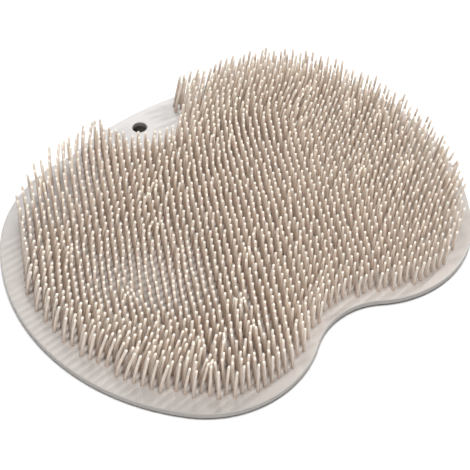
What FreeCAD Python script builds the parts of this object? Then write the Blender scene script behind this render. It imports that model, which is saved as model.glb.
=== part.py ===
import FreeCAD, Part

import math
import os

import Sketcher

Vector = FreeCAD.Vector

DOC = FreeCAD.newDocument("foot_scrubber")
UP = Vector(0, 0, 1)

# The driving sizes, in millimetres and degrees. X runs along the two lobes, which are widest
# on the X axis, Y runs from the waist at the front to the hanging tab at the rear, and the
# suction cups' rims stand on z = 0.
SIZES = {
    "overall_length": 305,
    "front_reach": 120,
    "rear_reach": 113,
    "front_crest_from_end": 88.5,
    "rear_crest_from_end": 93.5,
    "front_crest_turn": 47,
    "rear_crest_turn": 60,
    "waist_radius": 45,
    "tab_width": 105,
    "tab_rise": 7,
    "tab_blend_radius": 20,
    "slab_thickness": 4,
    "top_edge_chamfer": 0.7,
    "bottom_edge_chamfer": 0.5,
    "hole_diameter": 10,
    "hole_from_edge": 13.5,
    "bristle_margin": 10,
    "bristle_pitch": 7.7,
    "bristle_row_pitch": 7,
    "bristle_root_width": 2.4,
    "bristle_tip_width": 1.5,
    "bristle_sides": 3,
    "bristle_sink": 0.5,
    "bed_bristle_length": 18,
    "edge_bristle_length": 24,
    "bed_centre_x": 82,
    "bed_centre_y": 0,
    "bed_radius": 95,
    "tab_bare_depth": 33,
    "tab_bare_radius": 45,
    "cup_height": 1.5,
    "cup_pitch": 46,
    "cup_margin": 14,
    "cup_rim_diameter": 16,
    "cup_rim_width": 0.9,
    "cup_neck_diameter": 11,
    "cup_hollow_depth": 1.1,
    "cup_sides": 10,
    "cup_sink": 0.5,
}


def add_sheet():
    """Writes each driving size into a spreadsheet cell of its own, with an alias."""
    sheet = DOC.addObject("Spreadsheet::Sheet", "sizes")
    for row, (name, value) in enumerate(SIZES.items(), start=1):
        sheet.set("A%d" % row, name)
        sheet.set("B%d" % row, str(value))
        sheet.setAlias("B%d" % row, name)
    DOC.recompute()
    return sheet


SHEET = add_sheet()


def size(name):
    """One driving size, read back from the spreadsheet."""
    return float(SHEET.get(name))


def bind(thing, prop, expression):
    """Binds a property to the sheet; each size in the expression is written as {name}."""
    for name in SIZES:
        expression = expression.replace("{%s}" % name, "<<sizes>>." + name)
    thing.setExpression(prop, expression)


def origin_plane(body, role):
    """The origin plane of a body that has this role, such as XY_Plane."""
    return [item for item in body.Origin.OriginFeatures if item.Role == role][0]


def flat_sketch(body, name, height):
    """A sketch parallel to the body's XY plane, at the height that an expression gives."""
    sketch = body.newObject("Sketcher::SketchObject", name)
    sketch.AttachmentSupport = [(origin_plane(body, "XY_Plane"), "")]
    sketch.MapMode = "FlatFace"
    bind(sketch, "AttachmentOffset.Base.z", height)
    return sketch


def circle_meeting(first, first_radius, second, second_radius):
    """The upper crossing of two circles, each given by its centre and radius."""
    along = second - first
    gap = along.Length
    reach = (gap ** 2 + first_radius ** 2 - second_radius ** 2) / (2 * gap)
    rise = math.sqrt(first_radius ** 2 - reach ** 2)
    unit = along / gap
    side = Vector(-unit.y, unit.x, 0)
    if side.y < 0:
        side = -side
    return first + unit * reach + side * rise


def quarter_radii(across, along, turn):
    """Radii of the crest arc and the end arc that make a quarter oval of this size.

    The crest arc turns through the given angle, in radians, and the end arc through the rest.
    """
    growth = (along - across) / (math.cos(turn) + math.sin(turn) - 1)
    crest = along - growth * math.cos(turn)
    return crest, crest + growth


def tab_top():
    """The Y of the tab's rearmost point."""
    return size("rear_reach") + size("tab_rise")


def hole_centre():
    """Middle of the hanging hole, seen from above."""
    return Vector(0, tab_top() - size("hole_from_edge"), 0)


def tab_foot(rear, rear_radius):
    """The point where the tab's edge would meet the rear arc if the corner had no blend."""
    x = size("tab_width") / 2
    return Vector(x, rear.y + math.sqrt(rear_radius ** 2 - (x - rear.x) ** 2), 0)


def outline_circles():
    """Centre and radius of each arc of the right half of the outline, from waist to tab."""
    end_x = size("overall_length") / 2
    front_inset, front_reach = size("front_crest_from_end"), size("front_reach")
    rear_inset, rear_reach = size("rear_crest_from_end"), size("rear_reach")
    front_turn = math.radians(size("front_crest_turn"))
    rear_turn = math.radians(size("rear_crest_turn"))
    front_radius, front_end_radius = quarter_radii(front_inset, front_reach, front_turn)
    rear_radius, rear_end_radius = quarter_radii(rear_inset, rear_reach, rear_turn)
    front = Vector(end_x - front_inset, front_radius - front_reach, 0)
    rear = Vector(end_x - rear_inset, rear_reach - rear_radius, 0)

    waist_radius = size("waist_radius")
    waist_drop = math.sqrt((waist_radius + front_radius) ** 2 - front.x ** 2)

    foot = tab_foot(rear, rear_radius)
    rise = tab_top() - foot.y
    tab_radius = (foot.x ** 2 + rise ** 2) / (2 * rise)
    tab = Vector(0, tab_top() - tab_radius, 0)
    blend_radius = size("tab_blend_radius")
    blend = circle_meeting(tab, tab_radius + blend_radius, rear, rear_radius + blend_radius)
    return {
        "waist": (Vector(0, front.y - waist_drop, 0), waist_radius),
        "front": (front, front_radius),
        "front_end": (Vector(end_x - front_end_radius, 0, 0), front_end_radius),
        "rear_end": (Vector(end_x - rear_end_radius, 0, 0), rear_end_radius),
        "rear": (rear, rear_radius),
        "blend": (blend, blend_radius),
        "tab": (tab, tab_radius),
    }


def angle_of(start, end):
    """Direction from one point to another, in radians."""
    return math.atan2(end.y - start.y, end.x - start.x)


def arc(centre, radius, start, end):
    """A counter-clockwise arc between two directions."""
    while end < start:
        end += 2 * math.pi
    return Part.ArcOfCircle(Part.Circle(centre, UP, radius), start, end)


def add_arcs(sketch, circles):
    """Adds the seven arcs of the half outline; gives each one's number by name."""
    centre = {name: circle[0] for name, circle in circles.items()}
    quarter = math.pi / 2
    front_join = math.radians(size("front_crest_turn")) - quarter
    rear_join = quarter - math.radians(size("rear_crest_turn"))
    spans = {
        "waist": (angle_of(centre["waist"], centre["front"]), quarter),
        "front": (angle_of(centre["front"], centre["waist"]), front_join),
        "front_end": (front_join, 0),
        "rear_end": (0, rear_join),
        "rear": (rear_join, angle_of(centre["rear"], centre["blend"])),
        "blend": (
            angle_of(centre["blend"], centre["tab"]),
            angle_of(centre["blend"], centre["rear"])),
        "tab": (angle_of(centre["tab"], centre["blend"]), quarter),
    }
    return {name: sketch.addGeometry(arc(*circles[name], *span)) for name, span in spans.items()}


def half_outline(sketch):
    """Right half of the outline: seven tangent arcs, closed by a line up the middle.

    The front and rear crests each carry a construction line, from crest to centre, and the
    foot of the tab is a construction point on both of the arcs that the blend joins.
    """
    circles = outline_circles()
    arcs = add_arcs(sketch, circles)
    front, front_radius = circles["front"]
    rear, rear_radius = circles["rear"]
    waist_centre, waist_radius = circles["waist"]
    middle = sketch.addGeometry(
        Part.LineSegment(Vector(0, tab_top(), 0), waist_centre + Vector(0, waist_radius, 0)))
    front_crest = sketch.addGeometry(
        Part.LineSegment(front - Vector(0, front_radius, 0), front), True)
    rear_crest = sketch.addGeometry(
        Part.LineSegment(rear + Vector(0, rear_radius, 0), rear), True)
    foot = sketch.addGeometry(Part.Point(tab_foot(rear, rear_radius)), True)

    start, finish, centre, x_axis, y_axis = 1, 2, 3, -1, -2
    constraint = Sketcher.Constraint
    sketch.addConstraint([
        constraint("Tangent", arcs["waist"], start, arcs["front"], start),
        constraint("Tangent", arcs["front"], finish, arcs["front_end"], start),
        constraint("Tangent", arcs["front_end"], finish, arcs["rear_end"], start),
        constraint("Tangent", arcs["rear_end"], finish, arcs["rear"], start),
        constraint("Tangent", arcs["rear"], finish, arcs["blend"], finish),
        constraint("Tangent", arcs["blend"], start, arcs["tab"], start),
        constraint("Coincident", arcs["tab"], finish, middle, start),
        constraint("Coincident", middle, finish, arcs["waist"], finish),
        constraint("PointOnObject", middle, start, y_axis),
        constraint("PointOnObject", middle, finish, y_axis),
        constraint("PointOnObject", arcs["waist"], centre, y_axis),
        constraint("PointOnObject", arcs["tab"], centre, y_axis),
        constraint("PointOnObject", arcs["front_end"], centre, x_axis),
        constraint("PointOnObject", arcs["front_end"], finish, x_axis),
        constraint("Coincident", front_crest, finish, arcs["front"], centre),
        constraint("PointOnObject", front_crest, start, arcs["front"]),
        constraint("Vertical", front_crest),
        constraint("Coincident", rear_crest, finish, arcs["rear"], centre),
        constraint("PointOnObject", rear_crest, start, arcs["rear"]),
        constraint("Vertical", rear_crest),
        constraint("PointOnObject", foot, start, arcs["rear"]),
        constraint("PointOnObject", foot, start, arcs["tab"]),
    ])

    def drive(name, unit, expression, kind, *where):
        number = sketch.addConstraint(constraint(kind, *where))
        sketch.renameConstraint(number, name)
        bind(sketch, "Constraints." + name, "(%s) * 1 %s" % (expression, unit))

    end_x = size("overall_length") / 2
    origin = (-1, 1)
    drive("waist_radius", "mm", "{waist_radius}", "Radius", arcs["waist"], waist_radius)
    drive("blend_radius", "mm", "{tab_blend_radius}", "Radius", arcs["blend"],
          size("tab_blend_radius"))
    drive("end_place", "mm", "{overall_length} / 2", "DistanceX", *origin,
          arcs["front_end"], finish, end_x)
    drive("front_crest_x", "mm", "{overall_length} / 2 - {front_crest_from_end}", "DistanceX",
          *origin, front_crest, finish, front.x)
    drive("front_crest_y", "mm", "-{front_reach}", "DistanceY", *origin, front_crest, start,
          -size("front_reach"))
    drive("rear_crest_x", "mm", "{overall_length} / 2 - {rear_crest_from_end}", "DistanceX",
          *origin, rear_crest, finish, rear.x)
    drive("rear_crest_y", "mm", "{rear_reach}", "DistanceY", *origin, rear_crest, start,
          size("rear_reach"))
    drive("front_end_turn", "deg", "90 - {front_crest_turn}", "Angle", arcs["front_end"],
          math.radians(90 - size("front_crest_turn")))
    drive("rear_end_turn", "deg", "90 - {rear_crest_turn}", "Angle", arcs["rear_end"],
          math.radians(90 - size("rear_crest_turn")))
    drive("tab_top", "mm", "{rear_reach} + {tab_rise}", "DistanceY", *origin, middle, start,
          tab_top())
    drive("tab_foot", "mm", "{tab_width} / 2", "DistanceX", *origin, foot, start,
          size("tab_width") / 2)


def edges_at(shape, height):
    """Names of the edges that lie flat at one height."""
    return [
        "Edge%d" % number
        for number, edge in enumerate(shape.Edges, start=1)
        if abs(edge.BoundBox.ZMin - height) < 1e-6 and abs(edge.BoundBox.ZMax - height) < 1e-6
    ]


def make_slab():
    """The flat lobed slab, padded as one half, mirrored, edged and pierced for hanging."""
    body = DOC.addObject("PartDesign::Body", "slab")
    outline = flat_sketch(body, "outline", "{cup_height} * 1 mm")
    half_outline(outline)

    half = body.newObject("PartDesign::Pad", "half_slab")
    half.Profile = outline
    bind(half, "Length", "{slab_thickness} * 1 mm")
    DOC.recompute()

    whole = body.newObject("PartDesign::Mirrored", "whole_slab")
    whole.Originals = [half]
    whole.MirrorPlane = (origin_plane(body, "YZ_Plane"), [""])
    body.Tip = whole
    DOC.recompute()

    top = size("cup_height") + size("slab_thickness")
    eased = body.newObject("PartDesign::Chamfer", "top_edge")
    eased.Base = (whole, edges_at(whole.Shape, top))
    bind(eased, "Size", "{top_edge_chamfer} * 1 mm")
    DOC.recompute()

    edged = body.newObject("PartDesign::Chamfer", "bottom_edge")
    edged.Base = (eased, edges_at(eased.Shape, size("cup_height")))
    bind(edged, "Size", "{bottom_edge_chamfer} * 1 mm")
    DOC.recompute()

    circle = flat_sketch(body, "hole_circle", "({cup_height} + {slab_thickness}) * 1 mm")
    place = hole_centre()
    ring = circle.addGeometry(Part.Circle(place, UP, size("hole_diameter") / 2))
    constraint = Sketcher.Constraint
    circle.addConstraint(constraint("PointOnObject", ring, 3, -2))
    number = circle.addConstraint(constraint("DistanceY", -1, 1, ring, 3, place.y))
    circle.renameConstraint(number, "hole_place")
    bind(circle, "Constraints.hole_place", "({rear_reach} + {tab_rise} - {hole_from_edge}) * 1 mm")
    number = circle.addConstraint(constraint("Diameter", ring, size("hole_diameter")))
    circle.renameConstraint(number, "hole_size")
    bind(circle, "Constraints.hole_size", "{hole_diameter} * 1 mm")

    hole = body.newObject("PartDesign::Pocket", "hanging_hole")
    hole.Profile = circle
    hole.Type = "ThroughAll"
    DOC.recompute()
    cut = edged.Shape.Volume - hole.Shape.Volume
    bore = math.pi * size("hole_diameter") ** 2 / 4 * size("slab_thickness")
    if abs(cut - bore) > 0.01 * bore:
        raise RuntimeError("the hanging hole removes %.2f mm3, not %.2f" % (cut, bore))
    return body


def staggered(pitch, row_pitch, reach_x, reach_y):
    """Places of a staggered grid, each second row shifted by half a pitch."""
    rows = int(reach_y / row_pitch)
    columns = int(reach_x / pitch) + 1
    for row in range(-rows, rows + 1):
        shift = pitch / 2 if row % 2 else 0
        for column in range(-columns, columns + 1):
            yield Vector(column * pitch + shift, row * row_pitch, 0)


def places_within(body, pitch, row_pitch, margin):
    """Grid places on the slab that lie at least the margin inside its outline."""
    middle = size("cup_height") + size("slab_thickness") / 2
    outline = body.Shape.slice(UP, middle)
    rim = max(outline, key=lambda wire: wire.BoundBox.DiagonalLength)
    face = Part.Face(rim)
    reach_y = max(size("front_reach"), tab_top())
    for place in staggered(pitch, row_pitch, size("overall_length") / 2, reach_y):
        spot = place + UP * middle
        if not face.isInside(spot, 1e-6, True):
            continue
        if rim.distToShape(Part.Vertex(spot))[0] >= margin:
            yield place


def clear_of_tab(place):
    """True outside the round bare patch in front of the hanging hole."""
    centre = Vector(0, tab_top() - size("tab_bare_depth") + size("tab_bare_radius"), 0)
    return (place - centre).Length >= size("tab_bare_radius")


def bristle_length(place):
    """Short in the bed of each foot, rising smoothly to full length around it."""
    beds = [
        Vector(side * size("bed_centre_x"), size("bed_centre_y"), 0)
        for side in (-1, 1)
    ]
    away = min((place - bed).Length for bed in beds) / size("bed_radius")
    rise = math.sin(min(away, 1) * math.pi / 2) ** 2
    low, high = size("bed_bristle_length"), size("edge_bristle_length")
    return low + (high - low) * rise


def polygon(centre, radius, sides):
    """Corners of a regular polygon, lying flat."""
    return [
        centre + Vector(math.cos(turn), math.sin(turn), 0) * radius
        for turn in (math.pi / 2 + 2 * math.pi * step / sides for step in range(sides))
    ]


def flat_face(corners):
    """The plane face that joins these corners in turn."""
    return Part.Face(Part.makePolygon(corners + corners[:1]))


def walls(low, high):
    """The plane walls between two rings of corners, one above the other."""
    sides = len(low)
    return [
        flat_face([low[side], low[(side + 1) % sides], high[(side + 1) % sides], high[side]])
        for side in range(sides)
    ]


def bristle(place):
    """One slender tapered bristle with a blunt tip, sunk a little into the slab."""
    sides = int(size("bristle_sides"))
    across = 2 * math.sin(math.pi / sides)
    top = size("cup_height") + size("slab_thickness")
    foot = place + UP * (top - size("bristle_sink"))
    tip = place + UP * (top + bristle_length(place))
    low = polygon(foot, size("bristle_root_width") / across, sides)
    high = polygon(tip, size("bristle_tip_width") / across, sides)
    return Part.Solid(Part.Shell([flat_face(low[::-1]), flat_face(high)] + walls(low, high)))


def make_bristles(slab):
    """The bristle field, in staggered rows over both foot beds."""
    grid = places_within(
        slab, size("bristle_pitch"), size("bristle_row_pitch"), size("bristle_margin"))
    bristles = [bristle(place) for place in grid if clear_of_tab(place)]
    print("bristles:", len(bristles))
    field = DOC.addObject("Part::Feature", "bristles")
    field.Shape = Part.makeCompound(bristles)
    return field


def make_cup():
    """One suction cup: a shallow flared bell with a flat rim, hollow below."""
    sides = int(size("cup_sides"))
    height = size("cup_height")
    rim = size("cup_rim_diameter") / 2
    neck = size("cup_neck_diameter") / 2
    lip = polygon(Vector(), rim, sides)
    mouth = polygon(Vector(), rim - size("cup_rim_width"), sides)
    shoulder = polygon(UP * height, neck, sides)
    root = polygon(UP * (height + size("cup_sink")), neck, sides)
    crown = UP * size("cup_hollow_depth")
    hollow = [
        flat_face([mouth[side], crown, mouth[(side + 1) % sides]])
        for side in range(sides)
    ]
    ring = flat_face(lip).cut(flat_face(mouth)).Faces[0].reversed()
    faces = [flat_face(root), ring] + walls(lip, shoulder) + walls(shoulder, root) + hollow
    shell = Part.makeShell(faces)
    return Part.Solid(shell)


def make_cups(slab):
    """The suction cups, spread over the underside and clear of the hanging hole."""
    pitch = size("cup_pitch")
    row_pitch = pitch * math.sqrt(3) / 2
    hole = hole_centre()
    clearance = (size("hole_diameter") + size("cup_rim_diameter")) / 2 + size("cup_rim_width")
    cup = make_cup()
    cups = []
    for place in places_within(slab, pitch, row_pitch, size("cup_margin")):
        if (place - hole).Length >= clearance:
            cups.append(cup.translated(place))
    print("cups:", len(cups))
    group = DOC.addObject("Part::Feature", "suction_cups")
    group.Shape = Part.makeCompound(cups)
    return group


def make_mat():
    """The whole mat, moulded in one: slab, bristles and suction cups."""
    slab = make_slab()
    bristles = make_bristles(slab)
    cups = make_cups(slab)
    mat = DOC.addObject("Part::Feature", "mat")
    mat.Label = "scrubber_mat"
    mat.Shape = slab.Shape.multiFuse([bristles.Shape, cups.Shape])
    mat.Placement = FreeCAD.Placement()
    DOC.recompute()
    return mat


def check(parts):
    """Stops with a plain message if anything failed to build."""
    for item in DOC.Objects:
        if "Invalid" in item.State or "Error" in item.State:
            raise RuntimeError("%s failed: %s" % (item.Label, item.State))
    for part in parts:
        if part.Shape.isNull() or not part.Shape.isValid():
            raise RuntimeError("%s has no valid shape" % part.Label)
        if len(part.Shape.Solids) != 1:
            raise RuntimeError("%s is %d solids, not one" % (part.Label, len(part.Shape.Solids)))


def write(parts):
    """Writes each part to a STEP file named after its label."""
    os.makedirs("parts", exist_ok=True)
    for part in parts:
        shape = part.Shape.Solids[0]
        shape.exportStep(os.path.join("parts", part.Label + ".step"))
        print(part.Label, "volume %.0f mm3" % shape.Volume, shape.BoundBox)


PARTS = [make_mat()]
check(PARTS)
write(PARTS)
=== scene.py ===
import math
import random

import bmesh
import bpy
import numpy
from bpy.props import FloatProperty, FloatVectorProperty, IntProperty, PointerProperty
from bpy.types import Operator, Panel, PropertyGroup
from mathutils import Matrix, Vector, kdtree


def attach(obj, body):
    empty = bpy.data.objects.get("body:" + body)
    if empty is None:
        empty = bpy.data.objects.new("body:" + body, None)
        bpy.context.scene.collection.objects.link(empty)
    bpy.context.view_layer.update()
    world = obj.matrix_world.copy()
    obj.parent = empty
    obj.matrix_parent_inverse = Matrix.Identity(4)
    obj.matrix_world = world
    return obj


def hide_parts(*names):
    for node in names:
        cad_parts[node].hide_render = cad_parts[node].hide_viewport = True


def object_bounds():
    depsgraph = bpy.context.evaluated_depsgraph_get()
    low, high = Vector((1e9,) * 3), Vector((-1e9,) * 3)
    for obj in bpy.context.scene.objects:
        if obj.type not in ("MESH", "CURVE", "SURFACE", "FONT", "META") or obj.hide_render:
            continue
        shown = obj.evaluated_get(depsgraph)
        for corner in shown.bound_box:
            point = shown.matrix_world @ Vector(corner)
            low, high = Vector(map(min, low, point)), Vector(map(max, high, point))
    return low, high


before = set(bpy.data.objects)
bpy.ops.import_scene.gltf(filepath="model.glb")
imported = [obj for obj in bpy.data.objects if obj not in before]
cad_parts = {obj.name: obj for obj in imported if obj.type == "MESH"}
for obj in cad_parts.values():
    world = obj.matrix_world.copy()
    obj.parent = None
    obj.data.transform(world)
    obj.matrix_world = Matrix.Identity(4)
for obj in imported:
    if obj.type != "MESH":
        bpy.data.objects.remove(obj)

bl_info = {
    "name": "Shower foot scrubber",
    "version": (1, 0, 0),
    "blender": (4, 5, 0),
    "location": "View3D > Sidebar > Scrubber",
    "description": "A soft silicone foot mat with a dense field of slender bristles",
    "category": "Object",
}

NODE = "scrubber_mat"
BODY = "root"
CAD_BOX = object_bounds()
MM = 0.001
HOLE = Vector((0.0, CAD_BOX[1].y - 13.5 * MM, 0.0))


def length(name, description, default):
    """A size property in metres, shown as a length."""
    return FloatProperty(
        name=name, description=description, default=default, unit="LENGTH", precision=5)


def colour(name, description, default):
    """A linear colour property."""
    return FloatVectorProperty(
        name=name, description=description, default=default, subtype="COLOR", size=3)


class ScrubberSlabSizes(PropertyGroup):
    underside: length("Underside", "Height of the slab's underside", 1.2 * MM)
    top: length("Top", "Height of the slab's top face", 5.5 * MM)
    top_round: length("Top edge", "Rounding of the outer top edge", 0.5 * MM)
    bottom_round: length("Bottom edge", "Rounding of the outer bottom edge", 0.3 * MM)
    hole_round: length("Hole edge", "Rounding of the hanging hole's rims", 0.6 * MM)
    border: length("Border", "Width of the ring of faces along each edge", 1.6 * MM)


class ScrubberBristleSizes(PropertyGroup):
    pitch: length("Pitch", "Distance between bristles in a row", 5.137 * MM)
    row_pitch: length("Row pitch", "Distance between rows", 4.876 * MM)
    shift_x: length("Shift X", "Where the grid's first bristle stands", 0.35 * MM)
    shift_y: length("Shift Y", "Where the grid's first row lies", 0.9 * MM)
    left_margin: length("Left margin", "Bare edge of the slab at the left end", 10.4 * MM)
    right_margin: length("Right margin", "Bare edge of the slab at the right end", 8.2 * MM)
    waist_margin: length("Waist margin", "Bare edge of the slab near the waist", 5.7 * MM)
    root_width: length("Root width", "Thickness of a bristle at its root", 2.05 * MM)
    tip_width: length("Tip width", "Thickness of a bristle just under its tip", 1.6 * MM)
    sides: IntProperty(name="Sides", description="Faces around a bristle", default=8)
    bed_length: length("Bed length", "Bristle length in the foot beds", 16.5 * MM)
    edge_length: length("Edge length", "Bristle length around the beds", 23.5 * MM)
    waist_length: length("Waist length", "Bristle length beside the waist", 18.5 * MM)
    tuft_reach: length("Tuft", "How far around a tuft the bristles close up", 7 * MM)
    jitter: FloatProperty(name="Jitter", description="Spread of the bristles' lean", default=0.028)
    bare_reach: length("Bare patch", "Radius of the bare patch around the hole", 28.5 * MM)
    bare_depth: length("Bare depth", "How far the bare patch reaches from the tab's edge", 42 * MM)


class ScrubberCupSizes(PropertyGroup):
    rim: length("Rim", "Diameter of a suction cup's rim", 16 * MM)
    neck: length("Neck", "Diameter of a suction cup where it meets the slab", 11 * MM)
    wall: length("Wall", "Thickness of a suction cup's lip", 0.8 * MM)
    sides: IntProperty(name="Sides", description="Faces around a suction cup", default=40)


class ScrubberColours(PropertyGroup):
    slab: colour("Slab", "Bare silicone of the slab", (0.63, 0.585, 0.55))
    # The tab colour is paler than the slab's so that it paints a sheen on the tab.
    tab: colour("Tab", "Bare silicone of the hanging tab", (0.76, 0.735, 0.715))
    # The root colour is darker so that it paints the shade between the bristles near the slab.
    root: colour("Root", "Bristle near the slab", (0.53, 0.42, 0.345))
    stem: colour("Stem", "Body of a bristle", (0.91, 0.81, 0.715))
    # The cream tip colour is a painted highlight.
    tip: colour("Tip", "Very end of a bristle", (0.97, 0.92, 0.85))


class ScrubberStage(PropertyGroup):
    focal: FloatProperty(name="Focal length", description="In mm on a 36 mm frame", default=87.06)
    distance: length("Distance", "Camera to the point it looks at", 726.06 * MM)
    azimuth: FloatProperty(
        name="Azimuth", description="0 looks along +Y", default=math.radians(-38.85),
        subtype="ANGLE")
    elevation: FloatProperty(
        name="Elevation", description="Above the floor", default=math.radians(48.72),
        subtype="ANGLE")
    target: FloatVectorProperty(
        name="Target", description="Point on the floor that the camera looks at",
        default=(-7.82 * MM, -8.16 * MM, 0.0), subtype="TRANSLATION")
    floor_size: length("Floor", "Side of the square floor", 8.0)
    sky: FloatProperty(name="Sky", description="Strength of the light all round", default=0.12)


class Wire:
    """One node output. Sums and products of wires and numbers add their own Math nodes."""

    def __init__(self, shader, socket):
        self.shader = shader
        self.socket = socket

    def maths(self, operation, *values, clamp=False):
        return self.shader.node(
            "ShaderNodeMath", {"operation": operation, "use_clamp": clamp},
            dict(enumerate(values)))

    def __add__(self, other):
        return self.maths("ADD", self, other)

    def __sub__(self, other):
        return self.maths("SUBTRACT", self, other)

    def __rsub__(self, other):
        return self.maths("SUBTRACT", other, self)

    def __mul__(self, other):
        return self.maths("MULTIPLY", self, other)

    def __truediv__(self, other):
        return self.maths("DIVIDE", self, other)

    def __pow__(self, other):
        return self.maths("POWER", self, other)

    __radd__ = __add__
    __rmul__ = __mul__

    def held(self):
        """The same value, kept between 0 and 1."""
        return self.maths("ADD", self, 0.0, clamp=True)

    def ramp(self, low, high):
        """0 at low, 1 at high, with soft ends."""
        return self.shader.node(
            "ShaderNodeMapRange", {"interpolation_type": "SMOOTHSTEP"},
            {"Value": self, "From Min": low, "From Max": high})


class Shader:
    """A material under construction."""

    def __init__(self, name):
        self.material = bpy.data.materials.new(name)
        self.material.use_nodes = True
        self.tree = self.material.node_tree
        self.tree.nodes.clear()

    def node(self, kind, settings=None, inputs=None, output=0):
        """Adds a node: its settings first, then the values or links of its sockets."""
        made = self.tree.nodes.new(kind)
        for name, value in (settings or {}).items():
            setattr(made, name, value)
        for key, value in (inputs or {}).items():
            if isinstance(value, Wire):
                self.tree.links.new(value.socket, made.inputs[key])
            else:
                made.inputs[key].default_value = value
        return Wire(self, made.outputs[output])

    def place(self):
        """Object coordinates of the surface."""
        return self.node("ShaderNodeTexCoord", output="Object")

    def coordinate(self, axis):
        """One object coordinate of the surface: X, Y or Z."""
        return self.node("ShaderNodeSeparateXYZ", None, {"Vector": self.place()}, output=axis)

    def distance(self, point):
        """How far the surface lies from a point."""
        return self.node(
            "ShaderNodeVectorMath", {"operation": "DISTANCE"},
            {0: self.place(), 1: point}, output="Value")

    def attribute(self, name):
        """A number stored on the mesh's points."""
        return self.node("ShaderNodeAttribute", {"attribute_name": name}, output="Fac")

    def noise(self, scale, detail=3.0, roughness=0.55):
        """Soft noise over the object, from 0 to 1."""
        return self.node(
            "ShaderNodeTexNoise", {"noise_dimensions": "3D"},
            {"Vector": self.place(), "Scale": scale, "Detail": detail, "Roughness": roughness})

    def blend(self, amount, first, second):
        """A colour between two colours."""
        return self.node(
            "ShaderNodeMix", {"data_type": "RGBA"},
            {0: amount, 6: rgba(first), 7: rgba(second)}, output=2)

    def bump(self, height, distance):
        """A normal that follows a height in the shader."""
        return self.node(
            "ShaderNodeBump", None, {"Height": height, "Distance": distance, "Strength": 1.0})

    def finish(self, shader):
        """Connects the finished shader to the material's output."""
        made = self.tree.nodes.new("ShaderNodeOutputMaterial")
        self.tree.links.new(shader.socket, made.inputs["Surface"])


def rgba(value):
    """A colour with its alpha, or a wire as it is."""
    return value if isinstance(value, Wire) else (*value, 1.0)


def toned(colour_, amount):
    """A colour made darker, or lighter above 1."""
    return [part * amount for part in colour_]


def slab_finish(colours):
    """Satin silicone: mottled, with a painted sheen on the tab, painted light at the waist, and
    painted shade on the walls and in the hole.
    """
    shader = Shader("satin_silicone")
    mottle = shader.noise(45.0, detail=4.0).ramp(0.3, 0.7)
    grain = shader.noise(2600.0, detail=2.0)
    body = shader.blend(mottle, toned(colours.slab, 0.965), toned(colours.slab, 1.03))
    across = shader.coordinate("X")
    depth = shader.coordinate("Y")
    height = shader.coordinate("Z")
    from_hole = shader.distance(HOLE + Vector((0, 0, 3 * MM)))
    # Painted light: the slab is painted up to 1.2 times paler from x = -90 mm to the waist. This
    # fades to three tenths of that from x = 60 mm to 120 mm.
    waist = across.ramp(-90 * MM, -10 * MM) - 0.7 * across.ramp(60 * MM, 120 * MM)
    waist_painted_light = shader.blend(waist, body, toned(colours.slab, 1.2))
    # Painted sheen: from 60 mm to 100 mm toward the back, the top is painted in the paler tab
    # colour.
    top = shader.blend(depth.ramp(60 * MM, 100 * MM), waist_painted_light, colours.tab)
    # Painted shade: below the top edge the walls are painted darker, at 0.8 of the slab colour.
    # The hanging hole's walls are much darker, at 0.42.
    painted_wall_shade = shader.blend(
        from_hole.ramp(7 * MM, 9 * MM), toned(colours.slab, 0.42), toned(colours.slab, 0.8))
    base = shader.blend(height.ramp(4.7 * MM, 5.3 * MM), painted_wall_shade, top)
    shader.finish(shader.node("ShaderNodeBsdfPrincipled", None, {
        "Base Color": base,
        "Roughness": 0.34 + 0.08 * mottle,
        "Specular IOR Level": 0.5,
        "Normal": shader.bump(grain, 0.02 * MM),
    }))
    return shader.material


def bristle_finish(colours):
    """Warm silicone stems, with painted shade down between their neighbours, a painted highlight
    in cream at the tips and a faint painted glow at the very tips.
    """
    shader = Shader("bristle_silicone")
    along = shader.attribute("along")
    shade = shader.attribute("shade")
    stem = shader.blend(shade, toned(colours.stem, 0.93), toned(colours.stem, 1.06))
    # Painted shade: each bristle is painted from the darker root colour at the slab up to the stem
    # colour at 55 % of its length.
    body = shader.blend((along / 0.55).held() ** 0.8, colours.root, stem)
    # Painted highlight: the top few hundredths of each bristle are painted in the cream tip
    # colour.
    base = shader.blend(along.ramp(0.92, 0.98), body, colours.tip)
    shader.finish(shader.node("ShaderNodeBsdfPrincipled", None, {
        "Base Color": base,
        "Roughness": 0.46 - 0.08 * along,
        "Specular IOR Level": 0.5,
        "Subsurface Weight": 0.35,
        "Subsurface Radius": (1.0, 0.9, 0.8),
        "Subsurface Scale": 0.8 * MM,
        # Painted glow: the very tips give off a faint warm light of their own.
        "Emission Color": shader.blend(along.ramp(0.925, 0.98), (0, 0, 0), (0.25, 0.22, 0.18)),
        "Emission Strength": 1.0,
        "Normal": shader.bump(shader.noise(900.0, detail=2.0), 0.04 * MM),
    }))
    return shader.material


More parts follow.
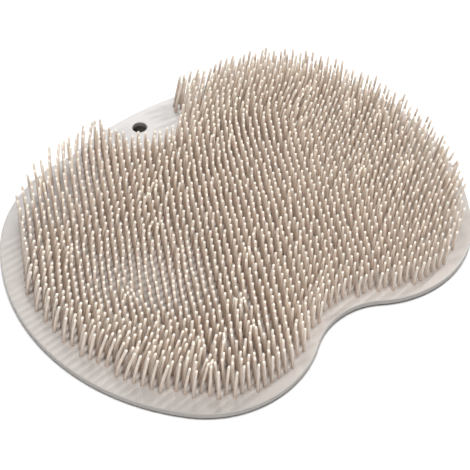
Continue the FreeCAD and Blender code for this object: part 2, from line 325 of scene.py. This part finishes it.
def floor_finish():
    """Matt white; the camera sees it lifted to white, with the shadows still on it."""
    shader = Shader("white_floor")
    path = shader.node("ShaderNodeLightPath", output="Is Camera Ray")
    gloss = shader.node("ShaderNodeLightPath", output="Is Glossy Ray")
    clear = shader.node("ShaderNodeLightPath", output="Is Transmission Ray")
    dim = shader.node("ShaderNodeBsdfDiffuse", None, {"Color": (0.4, 0.4, 0.4, 1.0)})
    rim = shader.node(
        "ShaderNodeAmbientOcclusion", {"samples": 8}, {"Distance": 2 * MM}, output="AO")
    # Painted shadow: the floor is painted darker and loses its glow where ambient occlusion finds
    # the slab's edge close, and under the hanging hole.
    open_sky = rim.ramp(0.55, 0.92) * shader.distance(HOLE).ramp(6 * MM, 8 * MM)
    tone = shader.blend(open_sky, (0.12, 0.11, 0.1), (0.8, 0.8, 0.8))
    plain = shader.node("ShaderNodeBsdfDiffuse", None, {"Color": tone})
    glow = shader.node("ShaderNodeEmission", None, {
        "Color": shader.blend(open_sky, (0, 0, 0), (0.55, 0.55, 0.55)), "Strength": 1.0})
    lifted = shader.node("ShaderNodeAddShader", None, {0: plain, 1: glow})
    shader.finish(shader.node("ShaderNodeMixShader", None, {
        0: (path + gloss + clear).held(), 1: dim, 2: lifted}))
    return shader.material


def deselect():
    """Leaves nothing selected."""
    for item in list(bpy.context.selected_objects):
        item.select_set(False)


def make_active(item):
    """Selects one object alone and makes it the active one."""
    deselect()
    item.select_set(True)
    bpy.context.view_layer.objects.active = item


def edit(item, kind="EDGE"):
    """Goes into edit mode on one object, with everything selected."""
    make_active(item)
    bpy.ops.object.mode_set(mode="EDIT")
    bpy.ops.mesh.select_mode(type=kind)
    bpy.ops.mesh.select_all(action="SELECT")


def leave_edit():
    bpy.ops.object.mode_set(mode="OBJECT")


def pick_edges(test):
    """In edit mode, selects only the edges that pass a test."""
    mesh = bpy.context.object.data
    shape = bmesh.from_edit_mesh(mesh)
    bpy.ops.mesh.select_all(action="DESELECT")
    for edge in shape.edges:
        if test(edge):
            edge.select_set(True)
    bmesh.update_edit_mesh(mesh)


def apply_modifiers(item):
    """Applies every modifier of an object."""
    make_active(item)
    for modifier in list(item.modifiers):
        bpy.ops.object.modifier_apply(modifier=modifier.name)


def smooth(item, angle=40.0):
    """Smooth shading, apart from edges sharper than an angle in degrees."""
    make_active(item)
    bpy.ops.object.shade_smooth_by_angle(angle=math.radians(angle))


def dress(item, material):
    """Gives a finished piece its material and its body, and hides the CAD node it stands for."""
    item.data.materials.clear()
    item.data.materials.append(material)
    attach(item, BODY)
    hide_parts(NODE)


def merged_copy():
    """The CAD node's mesh as an object of its own, with its loose triangles joined."""
    item = bpy.data.objects.new("merged_copy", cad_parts[NODE].data.copy())
    bpy.context.scene.collection.objects.link(item)
    edit(item, "VERT")
    bpy.ops.mesh.remove_doubles(threshold=0.002 * MM)
    leave_edit()
    return item


def outline_loops(name, height):
    """The slab's outline and hole as closed loops of edges, cut at one height and smoothed."""
    item = merged_copy()
    item.name = name
    wall_middle = 3.5 * MM
    edit(item, "VERT")
    bpy.ops.mesh.bisect(
        plane_co=(0, 0, wall_middle), plane_no=(0, 0, 1), clear_inner=True, clear_outer=True,
        threshold=0.001 * MM)
    bpy.ops.mesh.select_all(action="SELECT")
    bpy.ops.mesh.remove_doubles(threshold=0.05 * MM)
    bpy.ops.transform.translate(value=(0, 0, height - wall_middle))
    leave_edit()
    if len(item.data.vertices) != len(item.data.edges):
        raise RuntimeError("the slab's outline isn't made of closed loops")
    finer = item.modifiers.new("finer", "SUBSURF")
    finer.levels = 2
    finer.render_levels = 2
    apply_modifiers(item)
    return item


def near_hole(point):
    """True beside the hanging hole, and false beside the outer edge."""
    return (point - HOLE).xy.length < 8 * MM


def is_corner(edge, height):
    """True on the edges where the slab's wall meets its flat top or underside."""
    if len(edge.link_faces) != 2:
        return False
    if any(abs(vertex.co.z - height) > 0.01 * MM for vertex in edge.verts):
        return False
    steepness = sorted(abs(face.normal.z) for face in edge.link_faces)
    return steepness[0] < 0.3 and steepness[1] > 0.7


class SCRUBBER_OT_slab(Operator):
    """Makes the flat lobed slab with its rounded edges and hanging hole"""

    bl_idname = "scrubber.slab"
    bl_label = "Slab"

    def execute(self, context):
        sizes = context.scene.scrubber_slab
        slab = outline_loops("mat_slab", sizes.top)
        edit(slab, "EDGE")
        bpy.ops.mesh.fill()
        bpy.ops.mesh.select_all(action="SELECT")
        bpy.ops.mesh.normals_make_consistent(inside=False)
        bpy.ops.mesh.inset(thickness=sizes.border, use_boundary=True)
        bpy.ops.mesh.select_all(action="SELECT")
        bpy.ops.mesh.extrude_region_move(
            TRANSFORM_OT_translate={"value": (0, 0, sizes.underside - sizes.top)})
        bpy.ops.mesh.select_all(action="SELECT")
        bpy.ops.mesh.normals_make_consistent(inside=False)
        rounds = (
            (sizes.top, False, sizes.top_round, 4),
            (sizes.underside, False, sizes.bottom_round, 3),
            (sizes.top, True, sizes.hole_round, 3),
            (sizes.underside, True, sizes.hole_round, 3),
        )
        for height, at_hole, radius, segments in rounds:
            pick_edges(lambda edge: is_corner(edge, height)
                       and near_hole(edge.verts[0].co) == at_hole)
            bpy.ops.mesh.bevel(offset=radius, segments=segments, affect="EDGES")
        leave_edit()
        smooth(slab)
        dress(slab, slab_finish(context.scene.scrubber_colours))
        return {"FINISHED"}


def ring_stack(name, sides, rings):
    """A round shape built ring by ring: each ring is a height and a radius, from a filled base."""
    height, radius = rings[0]
    bpy.ops.mesh.primitive_circle_add(
        vertices=sides, radius=radius, fill_type="NGON", location=(0, 0, 0))
    item = bpy.context.object
    item.name = name
    edit(item, "VERT")
    bpy.ops.transform.translate(value=(0, 0, height))
    for next_height, next_radius in rings[1:]:
        bpy.ops.mesh.extrude_region_move(
            TRANSFORM_OT_translate={"value": (0, 0, next_height - height)})
        if next_radius == 0:
            bpy.ops.mesh.merge(type="CENTER")
        else:
            scale = next_radius / radius
            bpy.ops.transform.resize(
                value=(scale, scale, 1), center_override=(0, 0, next_height))
        height, radius = next_height, next_radius
    bpy.ops.mesh.select_all(action="SELECT")
    bpy.ops.mesh.normals_make_consistent(inside=False)
    leave_edit()
    return item


def pattern_bristle(sizes):
    """One upright bristle of unit height, with a flared root and a domed tip."""
    root = sizes.root_width / 2
    tip = sizes.tip_width / 2
    rings = (
        (0.0, root * 1.18),
        (0.05, root),
        (0.30, root + (tip - root) * 0.25),
        (0.55, root + (tip - root) * 0.52),
        (0.78, root + (tip - root) * 0.78),
        (0.962, tip),
        (0.988, tip * 0.76),
        (1.0, 0),
    )
    item = ring_stack("bristle_pattern", sizes.sides, rings)
    for name in ("along", "shade"):
        item.data.attributes.new(name, "FLOAT", "POINT")
    heights = [vertex.co.z for vertex in item.data.vertices]
    item.data.attributes["along"].data.foreach_set("value", heights)
    return item


# Patches of bristles that lie over the same way: centre X and Y and reach in millimetres,
# and how far the tips stand off along X and Y for each millimetre of length. A fitting
# program worked these leans out from the directions of the photographed bristles.
COMBED = (
    (-138, 0, 30, 0.29, -0.10),
    (-128, -48, 30, 0.47, -0.10),
    (-118, 52, 30, 0.21, -0.19),
    (-95, -88, 30, 0.21, 0.02),
    (-92, -18, 30, -0.10, 0.09),
    (-78, 32, 30, 0.18, -0.17),
    (-85, 88, 30, 0.01, 0.21),
    (-55, -106, 30, -0.07, 0.06),
    (-50, -58, 30, -0.04, 0.02),
    (-45, -5, 30, 0.10, -0.04),
    (-42, 48, 30, 0.11, -0.15),
    (-12, -82, 30, 0.05, -0.08),
    (0, -38, 30, -0.02, 0.02),
    (2, 8, 30, -0.05, -0.01),
    (8, 55, 30, 0.17, 0.01),
    (38, -106, 30, -0.06, -0.07),
    (40, -62, 30, -0.06, 0.04),
    (45, -12, 30, 0.00, 0.01),
    (48, 38, 30, -0.13, 0.10),
    (42, 90, 30, 0.28, -0.25),
    (90, -102, 30, -0.06, -0.09),
    (86, -48, 30, 0.09, -0.07),
    (90, 2, 30, 0.20, -0.10),
    (95, 50, 30, 0.09, -0.48),
    (92, 96, 30, 0.36, 0.20),
    (130, -62, 30, -0.08, -0.07),
    (138, -5, 30, -0.27, -0.03),
    (130, 52, 30, 0.24, 0.31),
    (-112, 74, 22, 0.08, -0.07),
    (-62, 104, 22, 0.48, 0.35),
    (32, 102, 20, 0.59, 0.48),
    (66, 106, 20, 0.50, 0.29),
    (112, 80, 20, 0.31, 0.40),
    (134, 34, 20, 0.40, 0.03),
    (142, -2, 20, 0.84, 0.07),
    (138, -36, 20, 0.57, -0.08),
    (126, -70, 20, 0.48, -0.20),
)

# Where a few neighbouring tips have fallen together: X and Y in millimetres. They were marked
# in the photograph, and a script turned the marks into these places.
TUFTS = (
    (-106, 33), (-97, -21), (-93, -74), (-77, -82), (100, 51), (114, 21), (121, 1),
    (79, -29), (103, -44), (63, 113), (-34, 41), (-64, 101), (-24, -41),
)


# How much each of these counts where a bristle's lean is blended: standing upright, against a
# combed patch at its middle, and closing up on a tuft, against one bristle length in a bed.
UPRIGHT_SHARE = 0.35
TUFT_SHARE = 0.55


def lean_at(place):
    """How far the bristles here lie over, blended from the combed patches around them."""
    total = Vector((0.0, 0.0))
    weight = UPRIGHT_SHARE
    for x, y, reach, lean_x, lean_y in COMBED:
        away = (Vector((x * MM, y * MM)) - place).length / (reach * MM)
        share = math.exp(-away * away)
        total += Vector((lean_x, lean_y)) * share
        weight += share
    return total / weight


def closing_up(place, tufts, sizes):
    """The added lean that brings the tips around each tuft together."""
    lean = Vector((0.0, 0.0))
    for tuft in tufts:
        gap = tuft - place
        share = math.exp(-(gap.length / sizes.tuft_reach) ** 2)
        lean += gap * (TUFT_SHARE / sizes.bed_length) * share
    return lean


# Where the foot beds and the short bristles beside the waist lie, and how far they spread.
BED_X = 82 * MM
BED_REACH = 95 * MM
WAIST = Vector((40 * MM, -110 * MM))
WAIST_REACH = 75 * MM


def bristle_length(place, sizes):
    """Shorter in the bed of each foot and beside the waist, and full length around them."""
    bed = Vector((math.copysign(BED_X, place.x), 0))
    away = min((place - bed).length / BED_REACH, 1.0)
    rise = math.sin(away * math.pi / 2) ** 2
    full = sizes.bed_length + (sizes.edge_length - sizes.bed_length) * rise
    from_waist = (place - WAIST).length / WAIST_REACH
    share = math.exp(-from_waist ** 4)
    return full + (sizes.waist_length - full) * share


def bare_edge(x, sizes):
    """Width of the bare edge: narrow near the waist, wider toward the ends of the mat."""
    widens_from, widens_over = 40 * MM, 85 * MM
    share = min(max((abs(x) - widens_from) / widens_over, 0.0), 1.0)
    end = sizes.left_margin if x < 0 else sizes.right_margin
    return sizes.waist_margin + (end - sizes.waist_margin) * share


def bristle_places(slab, sizes):
    """Places of a staggered grid on the slab, clear of its edge and of the hanging hole."""
    low, high = CAD_BOX
    edge = [vertex.co for vertex in slab.data.vertices if not near_hole(vertex.co)]
    top = bpy.context.scene.scrubber_slab.top
    rim = [point for point in edge if 1.5 * MM < point.z < top - 0.2 * MM]
    tree = kdtree.KDTree(len(rim))
    for number, point in enumerate(rim):
        tree.insert((point.x, point.y, 0), number)
    tree.balance()
    bare = Vector((0, high.y - sizes.bare_depth + sizes.bare_reach))
    rows = int(high.y / sizes.row_pitch) + 1
    columns = int(high.x / sizes.pitch) + 1
    places = []
    for row in range(-rows, rows + 1):
        offset = sizes.pitch / 2 if row % 2 else 0
        for column in range(-columns, columns + 1):
            x = column * sizes.pitch + offset + sizes.shift_x
            y = row * sizes.row_pitch + sizes.shift_y
            place = Vector((x, y))
            hit = slab.ray_cast((x, y, 1.0), (0, 0, -1))[0]
            if not hit or (place - bare).length < sizes.bare_reach:
                continue
            if tree.find((x, y, 0))[2] >= bare_edge(x, sizes):
                places.append(place)
    return places


def bent(pattern, place, long, lean, curl, base):
    """The pattern's points stood at a place, stretched to a length and bent over."""
    across, along = pattern[:, :2], pattern[:, 2]
    reach = numpy.array(lean) * long
    droop = math.sqrt(max(1.0 - lean.length_squared, 0.2))
    path = (1 - curl) * along + curl * along ** 2
    slope = (1 - curl) + 2 * curl * along
    points = numpy.empty_like(pattern)
    points[:, :2] = numpy.array(place) + across + path[:, None] * reach
    tilt = (across * numpy.array(lean)).sum(axis=1) * slope / droop
    points[:, 2] = base + along * long * droop - tilt
    return points


def join(name, items):
    """Joins objects into one that carries this name."""
    deselect()
    for item in items:
        item.select_set(True)
    bpy.context.view_layer.objects.active = items[0]
    bpy.ops.object.join()
    items[0].name = name
    return items[0]


class SCRUBBER_OT_bristles(Operator):
    """Makes the bristle field, one bristle copied over the slab and bent place by place"""

    bl_idname = "scrubber.bristles"
    bl_label = "Bristles"

    def execute(self, context):
        sizes = context.scene.scrubber_bristles
        slab = bpy.data.objects["mat_slab"]
        model = pattern_bristle(sizes)
        count = len(model.data.vertices)
        pattern = numpy.empty(count * 3)
        model.data.vertices.foreach_get("co", pattern)
        pattern = pattern.reshape(count, 3)
        top = context.scene.scrubber_slab.top - 0.1 * MM
        chance = random.Random(7)
        groups = {"left_bristles": [], "right_bristles": []}
        places = bristle_places(slab, sizes)
        ruffled = [place for place in places if place.x < -20 * MM]
        tufts = [Vector(tuft) * MM for tuft in TUFTS] + chance.sample(ruffled, 8)
        for place in places:
            spread = Vector((chance.gauss(0, sizes.jitter), chance.gauss(0, sizes.jitter)))
            lean = lean_at(place) + closing_up(place, tufts, sizes) + spread
            long = bristle_length(place, sizes) * chance.uniform(0.97, 1.03)
            curl = chance.uniform(0.2, 0.6)
            copy = model.copy()
            copy.data = model.data.copy()
            points = bent(pattern, place, long, lean, curl, top)
            copy.data.vertices.foreach_set("co", points.ravel())
            shade = [chance.random()] * count
            copy.data.attributes["shade"].data.foreach_set("value", shade)
            context.scene.collection.objects.link(copy)
            groups["left_bristles" if place.x < 0 else "right_bristles"].append(copy)
        material = bristle_finish(context.scene.scrubber_colours)
        for name, items in groups.items():
            field = join(name, items)
            smooth(field, 60.0)
            dress(field, material)
            print(name, len(items), "bristles,", len(field.data.polygons), "faces")
        bpy.data.objects.remove(model)
        return {"FINISHED"}


def cup_places():
    """Middles of the suction cups, from the CAD node's lowest points."""
    item = merged_copy()
    rim = bpy.context.scene.scrubber_cups.rim
    groups = []
    for vertex in item.data.vertices:
        if vertex.co.z > 0.01 * MM:
            continue
        for group in groups:
            if (group[0] - vertex.co).length < rim * 1.05:
                group.append(vertex.co.copy())
                break
        else:
            groups.append([vertex.co.copy()])
    places = [sum(group, Vector()) / len(group) for group in groups]
    bpy.data.objects.remove(item)
    return places


class SCRUBBER_OT_cups(Operator):
    """Makes the suction cups under the slab, one cup copied to each place"""

    bl_idname = "scrubber.cups"
    bl_label = "Suction cups"

    def execute(self, context):
        sizes = context.scene.scrubber_cups
        underside = context.scene.scrubber_slab.underside
        rim, neck, wall = sizes.rim / 2, sizes.neck / 2, sizes.wall
        rings = (
            (underside + 0.4 * MM, neck),
            (underside, neck),
            (underside * 0.72, neck + (rim - neck) * 0.22),
            (underside * 0.38, neck + (rim - neck) * 0.62),
            (underside * 0.12, rim - 0.1 * MM),
            (0.0, rim - 0.25 * MM),
            (0.0, rim - wall),
            (underside * 0.30, rim - wall * 1.6),
            (underside * 0.62, rim * 0.55),
            (underside * 0.74, rim * 0.25),
            (underside * 0.76, 0),
        )
        model = ring_stack("cup_pattern", sizes.sides, rings)
        cups = []
        for place in cup_places():
            cup = model.copy()
            cup.data = model.data.copy()
            context.scene.collection.objects.link(cup)
            edit(cup, "VERT")
            bpy.ops.transform.translate(value=(place.x, place.y, 0))
            leave_edit()
            cups.append(cup)
        print("cups:", len(cups))
        group = join("suction_cups", cups)
        bpy.data.objects.remove(model)
        smooth(group)
        dress(group, bpy.data.materials["satin_silicone"])
        return {"FINISHED"}


def add_lamp(name, size, energy, place):
    """A square soft lamp that faces the middle of the mat."""
    lamp = bpy.data.lights.new(name, "AREA")
    lamp.shape = "SQUARE"
    lamp.size = size
    lamp.energy = energy
    item = bpy.data.objects.new(name, lamp)
    item.location = place
    item.rotation_euler = (-Vector(place)).to_track_quat("-Z", "Y").to_euler()
    bpy.context.scene.collection.objects.link(item)


class SCRUBBER_OT_stage(Operator):
    """Sets up the white floor, the soft light and the camera"""

    bl_idname = "scrubber.stage"
    bl_label = "Stage"

    def execute(self, context):
        scene = context.scene
        stage = scene.scrubber_stage
        deselect()
        bpy.ops.mesh.primitive_plane_add(size=stage.floor_size, location=(0, 0, 0))
        floor = bpy.context.object
        floor.name = "floor"
        floor.data.materials.append(floor_finish())

        world = bpy.data.worlds.new("soft_sky")
        world.use_nodes = True
        tree = world.node_tree
        path = tree.nodes.new("ShaderNodeLightPath")
        strength = tree.nodes.new("ShaderNodeMapRange")
        strength.inputs["To Min"].default_value = stage.sky
        strength.inputs["To Max"].default_value = 1.0
        tree.links.new(path.outputs["Is Camera Ray"], strength.inputs["Value"])
        tree.nodes["Background"].inputs["Color"].default_value = (1, 1, 1, 1)
        tree.links.new(strength.outputs["Result"], tree.nodes["Background"].inputs["Strength"])
        scene.world = world
        add_lamp("soft_right", 0.1, 8.0, (1.23, 0.0, 0.86))
        add_lamp("soft_back", 0.6, 7.8, (0.48, 0.84, 1.15))
        add_lamp("soft_left", 0.3, 6.6, (-1.06, 0.0, 1.06))
        add_lamp("soft_front", 0.6, 9.7, (-0.26, -1.2, 0.86))

        azimuth, elevation = stage.azimuth, stage.elevation
        back = Vector((
            math.sin(azimuth) * math.cos(elevation),
            -math.cos(azimuth) * math.cos(elevation),
            math.sin(elevation)))
        camera = bpy.data.cameras.new("camera")
        camera.lens = stage.focal
        camera.sensor_width = 36.0
        camera.clip_start = 0.01
        item = bpy.data.objects.new("camera", camera)
        item.location = Vector(stage.target) + back * stage.distance
        item.rotation_euler = (-back).to_track_quat("-Z", "Y").to_euler()
        scene.collection.objects.link(item)
        scene.camera = item
        scene.view_settings.view_transform = "Standard"
        return {"FINISHED"}


class SCRUBBER_PT_panel(Panel):
    """Lists the steps that make the foot scrubber"""

    bl_label = "Foot scrubber"
    bl_space_type = "VIEW_3D"
    bl_region_type = "UI"
    bl_category = "Scrubber"

    def draw(self, context):
        column = self.layout.column(align=True)
        for step in STEPS:
            column.operator(step.bl_idname)


SETTINGS = {
    "scrubber_slab": ScrubberSlabSizes,
    "scrubber_bristles": ScrubberBristleSizes,
    "scrubber_cups": ScrubberCupSizes,
    "scrubber_colours": ScrubberColours,
    "scrubber_stage": ScrubberStage,
}
STEPS = (SCRUBBER_OT_slab, SCRUBBER_OT_bristles, SCRUBBER_OT_cups, SCRUBBER_OT_stage)


def register():
    for name, group in SETTINGS.items():
        bpy.utils.register_class(group)
        setattr(bpy.types.Scene, name, PointerProperty(type=group))
    for step in STEPS:
        bpy.utils.register_class(step)
    bpy.utils.register_class(SCRUBBER_PT_panel)


def unregister():
    bpy.utils.unregister_class(SCRUBBER_PT_panel)
    for step in reversed(STEPS):
        bpy.utils.unregister_class(step)
    for name, group in reversed(SETTINGS.items()):
        delattr(bpy.types.Scene, name)
        bpy.utils.unregister_class(group)


def main():
    register()
    bpy.ops.scrubber.slab()
    bpy.ops.scrubber.bristles()
    bpy.ops.scrubber.cups()
    bpy.ops.scrubber.stage()


if __name__ == "__main__":
    main()
